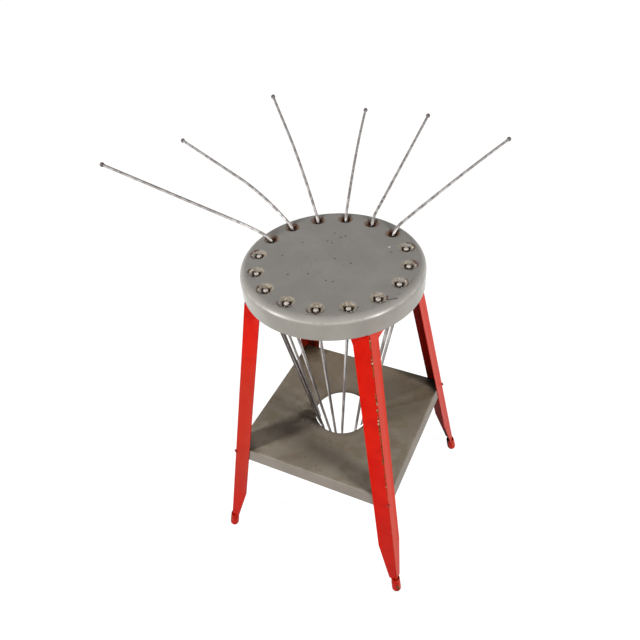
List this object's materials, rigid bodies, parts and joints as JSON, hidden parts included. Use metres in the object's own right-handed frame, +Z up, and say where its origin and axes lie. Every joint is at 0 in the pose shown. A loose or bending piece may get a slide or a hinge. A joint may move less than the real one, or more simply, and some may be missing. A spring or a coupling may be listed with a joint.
{
  "type": "rod-rack stool",
  "caption": "Round pressed-steel stool with ball-headed rods that pull up through dimpled holes and lean out as arms, a square gathering shelf and folded legs with cup feet.",
  "frame": {"origin": "middle of the seat's flat top", "axes": "+Z up; +X and +Y square to the shelf's sides, with the legs on the diagonals; the raised rods lie towards -X and +Y"},
  "size_m": [0.7706, 0.7775, 0.833],
  "materials": {
    "seat_paint": "worn grey enamel, satin",
    "shelf_paint": "worn grey enamel with brown grime",
    "leg_paint": "chipped red enamel, satin",
    "rod_steel": "dull worn steel",
    "ball_steel": "steel worn bright",
    "bolt_steel": "tarnished steel"
  },
  "bodies": {
    "stool": {"seat_pan": "seat_paint", "shelf_tray": "shelf_paint", "leg_front": "leg_paint", "foot_front": "leg_paint", "shelf_bolt_front": "bolt_steel", "shelf_nut_front": "bolt_steel", "leg_right": "leg_paint", "foot_right": "leg_paint", "shelf_bolt_right": "bolt_steel", "shelf_nut_right": "bolt_steel", "leg_back": "leg_paint", "foot_back": "leg_paint", "shelf_bolt_back": "bolt_steel", "shelf_nut_back": "bolt_steel", "leg_left": "leg_paint", "foot_left": "leg_paint", "shelf_bolt_left": "bolt_steel", "shelf_nut_left": "bolt_steel"},
    "rod_01_body": {"rod_01": "rod_steel", "ball_01": "ball_steel"},
    "rod_02_body": {"rod_02": "rod_steel", "ball_02": "ball_steel"},
    "rod_03_body": {"rod_03": "rod_steel", "ball_03": "ball_steel"},
    "rod_04_body": {"rod_04": "rod_steel", "ball_04": "ball_steel"},
    "rod_05_body": {"rod_05": "rod_steel", "ball_05": "ball_steel"},
    "rod_06_body": {"rod_06": "rod_steel", "ball_06": "ball_steel"},
    "rod_07_body": {"rod_07": "rod_steel", "ball_07": "ball_steel"},
    "rod_08_body": {"rod_08": "rod_steel", "ball_08": "ball_steel"},
    "rod_09_body": {"rod_09": "rod_steel", "ball_09": "ball_steel"},
    "rod_10_body": {"rod_10": "rod_steel", "ball_10": "ball_steel"},
    "rod_11_body": {"rod_11": "rod_steel", "ball_11": "ball_steel"},
    "rod_12_body": {"rod_12": "rod_steel", "ball_12": "ball_steel"},
    "rod_13_body": {"rod_13": "rod_steel", "ball_13": "ball_steel"},
    "rod_14_body": {"rod_14": "rod_steel", "ball_14": "ball_steel"},
    "rod_15_body": {"rod_15": "rod_steel", "ball_15": "ball_steel"},
    "rod_16_body": {"rod_16": "rod_steel", "ball_16": "ball_steel"}
  },
  "joints": [
    {"name": "rod_01_lift", "type": "hinge", "parent": "stool", "child": "rod_01_body", "pos_m": [0.08449, 0.14912, -0.02272], "axis": [0.9466, -0.3223, 0], "range_deg": [0, 50]},
    {"name": "rod_02_slide", "type": "slide", "parent": "stool", "child": "rod_02_body", "axis": [0.1575, 0.1136, 0.981], "range_m": [0, 0.437]},
    {"name": "rod_03_slide", "type": "slide", "parent": "stool", "child": "rod_03_body", "axis": [0.1908, 0.0379, 0.9809], "range_m": [0, 0.437]},
    {"name": "rod_04_slide", "type": "slide", "parent": "stool", "child": "rod_04_body", "axis": [0.2054, -0.052, 0.9773], "range_m": [0, 0.437]},
    {"name": "rod_05_slide", "type": "slide", "parent": "stool", "child": "rod_05_body", "axis": [0.1723, -0.0984, 0.9801], "range_m": [0, 0.437]},
    {"name": "rod_06_slide", "type": "slide", "parent": "stool", "child": "rod_06_body", "axis": [0.1401, -0.1424, 0.9798], "range_m": [0, 0.437]},
    {"name": "rod_07_slide", "type": "slide", "parent": "stool", "child": "rod_07_body", "axis": [0.0562, -0.1868, 0.9808], "range_m": [0, 0.437]},
    {"name": "rod_08_slide", "type": "slide", "parent": "stool", "child": "rod_08_body", "axis": [-0.0404, -0.1906, 0.9808], "range_m": [0, 0.437]},
    {"name": "rod_09_slide", "type": "slide", "parent": "stool", "child": "rod_09_body", "axis": [-0.1074, -0.1651, 0.9804], "range_m": [0, 0.437]},
    {"name": "rod_10_slide", "type": "slide", "parent": "stool", "child": "rod_10_body", "axis": [-0.1549, -0.1175, 0.9809], "range_m": [0, 0.437]},
    {"name": "rod_11_slide", "type": "slide", "parent": "stool", "child": "rod_11_body", "axis": [-0.1896, -0.0424, 0.9809], "range_m": [0, 0.437]},
    {"name": "rod_12_lift", "type": "hinge", "parent": "stool", "child": "rod_12_body", "pos_m": [-0.17016, 0.02327, -0.02272], "axis": [0.014, 0.9999, 0], "range_deg": [0, 44]},
    {"name": "rod_13_lift", "type": "hinge", "parent": "stool", "child": "rod_13_body", "pos_m": [-0.14812, 0.08703, -0.02272], "axis": [0.4099, 0.9121, 0], "range_deg": [0, 40]},
    {"name": "rod_14_lift", "type": "hinge", "parent": "stool", "child": "rod_14_body", "pos_m": [-0.10237, 0.13813, -0.02272], "axis": [0.7638, 0.6455, 0], "range_deg": [0, 36]},
    {"name": "rod_15_lift", "type": "hinge", "parent": "stool", "child": "rod_15_body", "pos_m": [-0.04109, 0.16699, -0.02272], "axis": [0.9593, 0.2823, 0], "range_deg": [0, 48]},
    {"name": "rod_16_lift", "type": "hinge", "parent": "stool", "child": "rod_16_body", "pos_m": [0.0216, 0.17013, -0.02272], "axis": [0.999, 0.0436, 0], "range_deg": [0, 50]}
  ]
}
